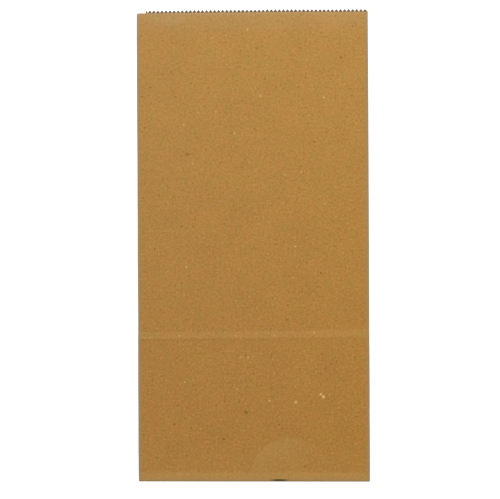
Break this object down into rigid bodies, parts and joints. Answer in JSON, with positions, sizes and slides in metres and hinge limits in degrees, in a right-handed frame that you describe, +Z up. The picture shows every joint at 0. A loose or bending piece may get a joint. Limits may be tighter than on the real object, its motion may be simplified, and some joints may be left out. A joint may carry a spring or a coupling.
{
  "type": "brown paper lunch bag",
  "caption": "Plain brown paper lunch bag with side gussets, a pasted flat bottom and a toothed mouth, folded flat.",
  "frame": {"origin": "middle of the footprint of the bag as it lies folded flat, on the surface it lies on", "axes": "+X across the bag to the right as seen on its plain front, +Y from the bottom fold to the toothed mouth, +Z up out of the plain front wall"},
  "size_m": [0.1304, 0.2667, 0.0027],
  "materials": {
    "brown_paper": "matte uncoated recycled paper"
  },
  "bodies": {
    "root": {"paper_bag": "brown_paper"}
  },
  "joints": []
}
